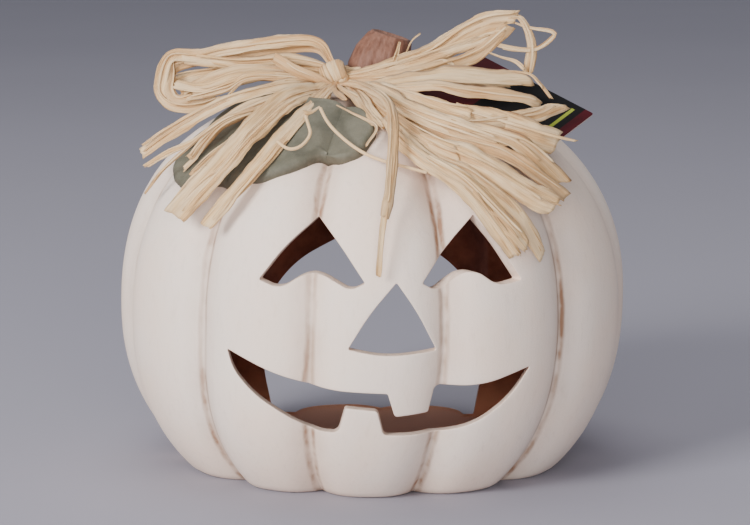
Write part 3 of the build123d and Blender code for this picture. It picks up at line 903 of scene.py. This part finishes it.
def leaf_veins(plan):
    """Depth of the veins drawn into the leaf: a midrib and side veins that branch from it."""
    along_line = (MIDRIB_END - MIDRIB_START) / np.linalg.norm(MIDRIB_END - MIDRIB_START)
    along = (plan - MIDRIB_START) @ along_line
    across = (plan - MIDRIB_START) @ [-along_line[1], along_line[0]] - 5.0 * np.sin(along / 24.0)
    depth = np.exp(-(across / 1.3) ** 2)
    phase = ((along - np.abs(across) * 0.9) / VEIN_SPACING) % 1.0
    side = np.exp(-((phase - 0.5) * VEIN_SPACING / 1.1) ** 2)
    side = side * smooth_step(np.abs(across), 0.5, 4.0)
    fade = smooth_step(along, 2.0, 12.0) * (1 - smooth_step(np.abs(across), 20.0, 34.0))
    return (depth + 0.7 * side) * fade


def make_leaf():
    rim = leaf_rim()
    shares = 1.0 - (np.arange(LEAF_RINGS + 1) / LEAF_RINGS) ** 1.25  # the first ring is the rim
    flat = (LEAF_MIDDLE + (rim - LEAF_MIDDLE) * shares[:, None, None]).reshape(-1, 2)
    lobe, latitude = locate_plan(flat[:, 0], flat[:, 1], LEAF_SOFTNESS)
    ground = body_points(lobe, latitude, softness=LEAF_SOFTNESS)
    normal = body_normals(lobe, latitude, LEAF_SOFTNESS)
    reach = np.linalg.norm(rim - LEAF_MIDDLE, axis=1)
    inset = ((1.0 - shares[:, None]) * reach).reshape(-1)
    edge = np.sqrt(np.clip(1 - (1 - np.clip(inset / LEAF_ROUNDING, 0, 1)) ** 2, 0, 1))
    to_stem = np.hypot(flat[:, 0], flat[:, 1])
    thickness = LEAF_THICKNESS + LEAF_SWELL * (1 - smooth_step(to_stem, 45.0, 85.0))
    thickness = thickness + 0.35 * np.sin(flat[:, 0] / 9.0 + 1.0) * np.sin(flat[:, 1] / 11.0)
    vein = leaf_veins(flat)
    lip = 0.5 * np.exp(-((inset - 3.2) / 1.6) ** 2)
    top = ground + normal * ((thickness + lip - 0.55 * vein) * edge)[:, None]
    under = body_points(lobe, latitude) - body_normals(lobe, latitude) * LEAF_SINK
    count, below = LEAF_SPOKES, len(top)
    faces = ring_faces(LEAF_RINGS + 1, count)
    faces += [[below + i for i in face[::-1]] for face in faces]
    faces += [[j, below + j, below + (j + 1) % count, (j + 1) % count] for j in range(count)]
    soup = Soup()
    values = np.stack([np.concatenate([inset, inset]), np.concatenate([vein, vein * 0])], -1)
    soup.add(np.concatenate([top, under]), faces, values)
    points, faces, values = soup.weld()
    leaf = new_object("ceramic_leaf", points, faces)
    add_attributes(leaf, values, "inset", "vein")
    place(leaf, bisque_sage(), "leaf")


# ---------------------------------------------------------------- stem
STEM_SECTIONS = [  # height, middle, width and tilt
    (179.0, 3.0, 37.0, 0.0), (190.0, 3.0, 35.0, 0.0), (199.0, 3.2, 32.5, 4.0),
    (206.0, 5.0, 28.5, 11.0), (213.8, 9.0, 22.0, 17.0)]
STEM_SQUARENESS = 3.0  # exponent of the section: 2 is round, more is squarer
STEM_SIDES = 160
STEM_ROWS = 60
STEM_RIM = 1.6
STEM_TOP_RADIUS = 11.0
# rings of the hollowed top, from the rim in: share of the radius, depth
STEM_HOLLOW = [(0.82, 0.15), (0.74, 0.7), (0.64, 1.2), (0.5, 1.5), (0.34, 1.6), (0.18, 1.5),
               (0.05, 1.4)]
BAND_GAP = 0.2
BAND_STRIPS = ((191.8, 4.0), (194.2, 4.6), (196.4, 3.8))  # height and width of each


def stem_values(height):
    """Middle, width and tilt of the stem at a height."""
    heights, *columns = zip(*STEM_SECTIONS)
    return [np.interp(height, heights, column) for column in columns]


def stem_radius(angle, width):
    reach = np.abs(np.cos(angle)) ** STEM_SQUARENESS + np.abs(np.sin(angle)) ** STEM_SQUARENESS
    return width / 2 * reach ** (-1.0 / STEM_SQUARENESS)


def stem_outline(height, angle, grow):
    """Point of the stem's section at a height, swollen a little."""
    middle, width, _ = stem_values(height)
    radius = stem_radius(angle, width) + grow
    return middle + radius * math.cos(angle), radius * math.sin(angle)


def stem_ring(height, share, sink=0.0):
    """Ring of points of the tilted section; share shrinks it and sink lowers it along its axis."""
    middle, width, tilt = stem_values(height)
    angle = np.linspace(0, 2 * math.pi, STEM_SIDES, endpoint=False)
    ridges = (0.25 * np.sin(9 * angle + 0.7) + 0.12 * np.sin(17 * angle + height / 9.0)
              + 0.08 * np.sin(31 * angle + 2.0 + height / 14.0) + 0.4 * np.sin(4 * angle + 1.0))
    radius = (stem_radius(angle, width) + ridges - 0.9) * share
    lean = math.radians(float(tilt))
    x, y = radius * np.cos(angle), radius * np.sin(angle)
    return np.stack([middle + x * math.cos(lean) - sink * math.sin(lean), y,
                     height - x * math.sin(lean) - sink * math.cos(lean)], -1)


def make_stem():
    base, top = STEM_SECTIONS[0][0] + 1.0, STEM_SECTIONS[-1][0]
    rings = [stem_ring(base, share) for share in (0.1, 0.3, 0.6)]
    rings += [stem_ring(height, 1.0) for height in np.linspace(base, top - STEM_RIM, STEM_ROWS)]
    for degree in (18, 36, 54, 72, 90):  # rounded rim
        turn = math.radians(degree)
        inset = STEM_RIM * (1 - math.cos(turn)) / STEM_TOP_RADIUS
        rings.append(stem_ring(top, 1.0 - inset, STEM_RIM * (1 - math.sin(turn))))
    rings += [stem_ring(top, share, sink) for share, sink in STEM_HOLLOW]
    count = STEM_SIDES
    points = np.concatenate(rings)
    faces = ring_faces(len(rings), count)
    faces += [list(range(count))[::-1], list(range(len(points) - count, len(points)))]
    stem = new_object("ceramic_stem", points, faces)
    cap = np.zeros((len(points), 1))
    cap[-len(STEM_HOLLOW) * count:] = 1.0
    add_attributes(stem, cap, "cap")
    place(stem, bisque_brown(), "stem")


# ---------------------------------------------------------------- materials
TAG_CORNER = np.array([107.4, -42.0, 178.8])
TAG_LENGTH, TAG_WIDTH, TAG_HOLE_INSET = 75.0, 50.0, 7.0
TAG_LONG = unit(np.array([-0.784, 0.500, 0.367]))
TAG_NORMAL = unit(np.cross(TAG_LONG, np.array([-0.616, -0.704, -0.352])))
TAG_SHORT = np.cross(TAG_NORMAL, TAG_LONG)
PANEL_SPAN, RULE_SPAN, RULE_LENGTH = (5.0, 47.0), (8.5, 10.3), (4.0, 34.0)
CARD_FACE = 0.27  # beyond this distance from the card's middle is its printed face
TAG_HOLE = TAG_CORNER + TAG_LONG * (TAG_LENGTH - TAG_HOLE_INSET) + TAG_SHORT * (TAG_WIDTH / 2)


class Shading:
    """Short way to build one material's nodes."""

    def __init__(self, name, roughness, specular):
        self.material = bpy.data.materials.new(name)
        self.material.use_nodes = True
        self.tree = self.material.node_tree
        self.shader = self.tree.nodes["Principled BSDF"]
        self.shader.inputs["Roughness"].default_value = roughness
        self.shader.inputs["Specular IOR Level"].default_value = specular

    def node(self, kind, *values, output=0, **settings):
        """Adds a node, sets its inputs in order (None skips one) and returns an output."""
        made = self.tree.nodes.new("ShaderNode" + kind)
        for key, value in settings.items():
            setattr(made, key, value)
        for socket, value in zip(made.inputs, values):
            self.put(socket, value)
        return made.outputs[output]

    def put(self, socket, value):
        if value is None:
            return
        if isinstance(value, bpy.types.NodeSocket):
            self.tree.links.new(value, socket)
        else:
            socket.default_value = value

    def math(self, operation, a, b=None, clamp=False):
        return self.node("Math", a, b, operation=operation, use_clamp=clamp)

    def times(self, a, b):
        return self.math("MULTIPLY", a, b)

    def rest(self, a):
        return self.math("SUBTRACT", 1.0, a)

    def scaled(self, value, factor, offset):
        return self.node("Math", value, factor, offset, operation="MULTIPLY_ADD")

    def attribute(self, name):
        return self.node("Attribute", output=2, attribute_name=name)

    def place(self):
        """Object coordinates in millimetres."""
        return self.stretch(self.node("TexCoord", output=3), (1 / MM,) * 3)

    def stretch(self, vector, scale):
        return self.node("VectorMath", vector, scale, operation="MULTIPLY")

    def noise(self, vector, scale, detail=3.0, roughness=0.5):
        return self.node("TexNoise", vector, None, scale, detail, roughness)

    def steps(self, value, low, high):
        """Smooth change of value to 0..1 between two limits."""
        return self.node("MapRange", value, low, high, 0.0, 1.0, interpolation_type="SMOOTHSTEP")

    def mix(self, share, a, b):
        made = self.tree.nodes.new("ShaderNodeMix")
        made.data_type = "RGBA"
        for number, value in zip((0, 6, 7), (share, a, b)):
            self.put(made.inputs[number], value)
        return made.outputs[2]

    def tint(self, a, b, share, strength):
        """Mixes a towards b by a share that is scaled by a strength."""
        return self.mix(self.times(share, strength), a, b)

    def finish(self, colour, height=None, depth=0.0005, roughness=None):
        self.put(self.shader.inputs["Base Color"], colour)
        if roughness is not None:
            self.put(self.shader.inputs["Roughness"], roughness)
        if height is not None:
            bump = self.tree.nodes.new("ShaderNodeBump")
            bump.inputs["Strength"].default_value = 1.0
            bump.inputs["Distance"].default_value = depth
            self.put(bump.inputs["Height"], height)
            self.put(self.shader.inputs["Normal"], bump.outputs[0])
        return self.material


def rgb(red, green, blue):
    """Linear colour from display values of 0 to 255."""
    return tuple(((c / 255.0 + 0.055) / 1.055) ** 2.4 if c > 10 else c / 255.0 / 12.92
                 for c in (red, green, blue)) + (1.0,)


def bisque_cream():
    """Matte cream body with a brown wash left in its grooves, bare terracotta inside, with painted
    light on the inside floor.
    """
    s = Shading("cream_bisque", 0.62, 0.32)
    place_mm = s.place()
    groove = s.attribute("groove")
    waver = s.times(s.math("SUBTRACT", s.noise(place_mm, 0.09, 2.0), 0.5), 2.6)
    near = s.math("ADD", groove, waver)
    line = s.rest(s.steps(s.math("ABSOLUTE", s.math("SUBTRACT", near, 1.9)), 0.2, 1.9))
    heart = s.rest(s.steps(near, 0.4, 3.6))
    halo = s.rest(s.steps(groove, 1.0, 13.0))
    streak = s.steps(s.noise(s.stretch(place_mm, (1.0, 1.0, 0.12)), 0.16, 4.0, 0.6), 0.38, 0.66)
    wear = s.steps(s.noise(place_mm, 0.045, 3.0, 0.6), 0.34, 0.62)
    wash = s.times(line, s.scaled(streak, 0.36, 0.24))
    wash = s.math("ADD", wash, s.times(heart, 0.20))
    wash = s.times(wash, s.scaled(wear, 0.6, 0.6))
    wash = s.math("ADD", wash, s.times(halo, s.scaled(wear, 0.14, 0.10)), clamp=True)
    cloud = s.noise(place_mm, 0.018, 4.0, 0.55)
    cream = s.mix(s.steps(cloud, 0.35, 0.68), CREAM_WARM, CREAM_COOL)
    brush = s.noise(s.stretch(place_mm, (1.0, 1.0, 0.25)), 0.35, 5.0, 0.7)
    cream = s.tint(cream, WASH_COLOUR, s.steps(brush, 0.5, 0.75), 0.10)
    speck = s.steps(s.noise(place_mm, 1.4, 2.0, 0.5), 0.70, 0.78)
    cream = s.tint(cream, WASH_COLOUR, speck, 0.16)
    outside = s.mix(wash, cream, WASH_COLOUR)
    clay_cloud = s.noise(place_mm, 0.05, 5.0, 0.6)
    clay = s.mix(s.steps(clay_cloud, 0.3, 0.7), CLAY_DARK, CLAY_LIGHT)
    height = s.node("SeparateXYZ", place_mm, output=2)
    # painted light: up to 30 mm the inside floor and the foot of the inside wall turn to a lighter
    # clay, as if lit through the openings
    clay = s.mix(s.steps(height, 6.0, 30.0), s.mix(0.9, clay, CLAY_PAINTED_LIGHT), clay)
    cut_colour = s.tint(CUT_CREAM, WASH_COLOUR, s.steps(brush, 0.4, 0.7), 0.3)
    colour = s.mix(s.attribute("cut"), outside, cut_colour)
    colour = s.mix(s.steps(s.attribute("inside"), 0.35, 0.65), colour, clay)
    grain = s.noise(place_mm, 1.1, 4.0, 0.6)
    height = s.math("ADD", s.times(grain, 0.35), s.times(brush, 0.5))
    return s.finish(colour, height, 0.00025, s.scaled(grain, 0.2, 0.52))


def bisque_sage():
    """Matte grey-green leaf with a brown wash in its veins and round its rim."""
    s = Shading("sage_bisque", 0.6, 0.3)
    place_mm = s.place()
    cloud = s.noise(place_mm, 0.05, 4.0, 0.6)
    green = s.mix(s.steps(cloud, 0.3, 0.7), LEAF_DARK, LEAF_LIGHT)
    vein = s.times(s.attribute("vein"), 0.35)
    rim = s.rest(s.steps(s.attribute("inset"), 0.2, 2.2))
    worn = s.steps(s.noise(place_mm, 0.3, 4.0, 0.7), 0.45, 0.7)
    colour = s.mix(s.math("ADD", vein, s.times(rim, 0.25)), green, LEAF_WASH)
    colour = s.tint(colour, LEAF_PALE, worn, 0.18)
    grain = s.noise(place_mm, 0.9, 5.0, 0.6)
    return s.finish(colour, grain, 0.0003, s.scaled(grain, 0.25, 0.48))


def bisque_brown():
    """Matte brown stem, streaked lengthways, pinker in random patches and across its hollowed top.
    """
    s = Shading("brown_bisque", 0.55, 0.35)
    place_mm = s.place()
    fibre = s.noise(s.stretch(place_mm, (1.0, 1.0, 0.09)), 0.55, 5.0, 0.65)
    brown = s.mix(s.steps(fibre, 0.3, 0.68), STEM_DARK, STEM_LIGHT)
    cloud = s.noise(place_mm, 0.12, 3.0, 0.6)
    colour = s.tint(brown, STEM_PINK, s.steps(cloud, 0.4, 0.75), 0.45)
    colour = s.tint(colour, STEM_PINK, s.attribute("cap"), 0.45)
    grain = s.noise(place_mm, 1.3, 4.0, 0.6)
    height = s.math("ADD", s.times(fibre, 0.8), s.times(grain, 0.3))
    return s.finish(colour, height, 0.0005)


def dried_raffia():
    """Dried palm leaf: fine lengthways fibres, straw to cream, browner along some edges."""
    s = Shading("raffia", 0.58, 0.3)
    across, along, tone = s.attribute("across"), s.attribute("along"), s.attribute("tone")
    line = s.node("CombineXYZ", across, s.times(along, 0.018), s.times(tone, 9.0))
    fibre = s.noise(line, 2.6, 5.0, 0.7)
    broad = s.noise(s.node("CombineXYZ", s.times(across, 0.3), s.times(along, 0.03),
                           s.times(tone, 31.0)), 1.0, 3.0, 0.5)
    straw = s.mix(s.steps(fibre, 0.26, 0.60), RAFFIA_DARK, RAFFIA_LIGHT)
    straw = s.tint(straw, RAFFIA_PALE, s.steps(broad, 0.38, 0.62), 0.65)
    straw = s.tint(straw, RAFFIA_TAN, s.steps(tone, 0.5, 1.0), 0.5)
    brown_edge = s.times(s.steps(s.attribute("edge"), 0.62, 1.0),
                        s.steps(s.noise(line, 0.5, 2.0, 0.5), 0.42, 0.62))
    colour = s.tint(straw, RAFFIA_BROWN, brown_edge, 0.6)
    material = s.finish(colour, fibre, 0.0005)
    s.shader.inputs["Sheen Weight"].default_value = 0.12
    s.shader.inputs["Sheen Roughness"].default_value = 0.4
    return material


def printed_card():
    """Burgundy tag card with a near-black panel, a thin rule and a pale cut edge."""
    s = Shading("tag_card", 0.42, 0.12)
    place_mm = s.place()
    offset = s.node("VectorMath", place_mm, tuple(TAG_CORNER), operation="SUBTRACT")

    def along(axis):
        return s.node("VectorMath", offset, tuple(axis), operation="DOT_PRODUCT", output=1)

    def between(value, low, high):
        return s.times(s.math("GREATER_THAN", value, low), s.math("LESS_THAN", value, high))

    long_mm, short_mm, off_mm = along(TAG_LONG), along(TAG_SHORT), along(TAG_NORMAL)
    panel = between(long_mm, *PANEL_SPAN)
    rule = s.times(between(long_mm, *RULE_SPAN), between(short_mm, *RULE_LENGTH))
    front = s.math("GREATER_THAN", off_mm, 0.0)
    mottle = s.noise(place_mm, 0.5, 3.0, 0.6)
    card = s.tint(CARD_BURGUNDY, CARD_DEEP, mottle, 0.4)
    colour = s.mix(s.times(panel, front), card, CARD_BLACK)
    colour = s.mix(s.times(rule, front), colour, CARD_RULE)
    sides = s.math("GREATER_THAN", s.math("ABSOLUTE", off_mm), CARD_FACE)
    colour = s.mix(sides, CARD_PAPER, colour)
    grain = s.noise(place_mm, 3.0, 3.0, 0.6)
    return s.finish(colour, grain, 0.00008, s.scaled(grain, 0.15, 0.5))


def backdrop_grey():
    s = Shading("backdrop", 0.9, 0.1)
    speck = s.noise(s.place(), 0.002, 2.0, 0.5)
    return s.finish(s.mix(speck, FLOOR_LOW, FLOOR_HIGH))


CREAM_WARM, CREAM_COOL = rgb(246, 222, 204), rgb(243, 225, 211)
WASH_COLOUR, CUT_CREAM = rgb(152, 114, 88), rgb(238, 212, 194)
# the third clay colour is painted light on the inside floor
CLAY_DARK, CLAY_LIGHT, CLAY_PAINTED_LIGHT = rgb(122, 68, 50), rgb(178, 108, 82), rgb(250, 176, 138)
LEAF_DARK, LEAF_LIGHT = rgb(88, 86, 72), rgb(110, 106, 90)
LEAF_WASH, LEAF_PALE = rgb(78, 64, 50), rgb(134, 128, 112)
STEM_DARK, STEM_LIGHT, STEM_PINK = rgb(104, 66, 50), rgb(130, 88, 70), rgb(148, 107, 89)
RAFFIA_DARK, RAFFIA_LIGHT = rgb(160, 104, 56), rgb(234, 192, 136)
RAFFIA_PALE, RAFFIA_TAN, RAFFIA_BROWN = rgb(248, 220, 176), rgb(190, 138, 84), rgb(112, 66, 36)
CARD_BURGUNDY, CARD_DEEP, CARD_BLACK = rgb(70, 6, 18), rgb(48, 4, 12), rgb(10, 8, 9)
CARD_RULE, CARD_PAPER = rgb(140, 150, 50), rgb(196, 180, 170)
FLOOR_LOW, FLOOR_HIGH = rgb(156, 153, 164), rgb(162, 159, 170)

raffia_material = dried_raffia()
make_tendril("front_tendril", FRONT_TENDRIL)
make_tendril("hook_tendril", HOOK_TENDRIL)
make_shell()
make_leaf()
make_stem()
make_knot()
make_band()
make_tie()
make_strips()

card_material = printed_card()
for slot in bpy.data.objects["tag_card"].material_slots:
    slot.material = card_material

# ---------------------------------------------------------------- floor and lights
FLOOR_REACH = 12000.0
SKY_COLOUR = (0.9, 0.93, 1.0, 1.0)
SKY_STRENGTH = 0.38
LIGHTS_AIM = Vector((0.0, 0.0, 0.1))

floor = new_object("floor", [(x * FLOOR_REACH, y * FLOOR_REACH, 0.0)
                             for x, y in ((-1, -1), (1, -1), (1, 1), (-1, 1))], [(0, 1, 2, 3)])
floor.data.materials.append(backdrop_grey())

world = bpy.data.worlds.new("world")
world.use_nodes = True
background = world.node_tree.nodes["Background"].inputs
background["Color"].default_value = SKY_COLOUR
background["Strength"].default_value = SKY_STRENGTH
bpy.context.scene.world = world

# name, place, width of the panel, watts
LIGHTS = [("key", (-1.6, -1.75, 1.05), 0.9, 74.0), ("front", (0.0, -2.4, 0.3), 1.4, 46.0),
          ("top", (-0.2, 0.4, 1.9), 1.2, 12.0)]
for name, place_at, size, power in LIGHTS:
    light_data = bpy.data.lights.new(name, "AREA")
    light_data.size = size
    light_data.energy = power
    light = bpy.data.objects.new(name, light_data)
    light.location = place_at
    light.rotation_euler = (LIGHTS_AIM - light.location).to_track_quat("-Z", "Y").to_euler()
    bpy.context.scene.collection.objects.link(light)
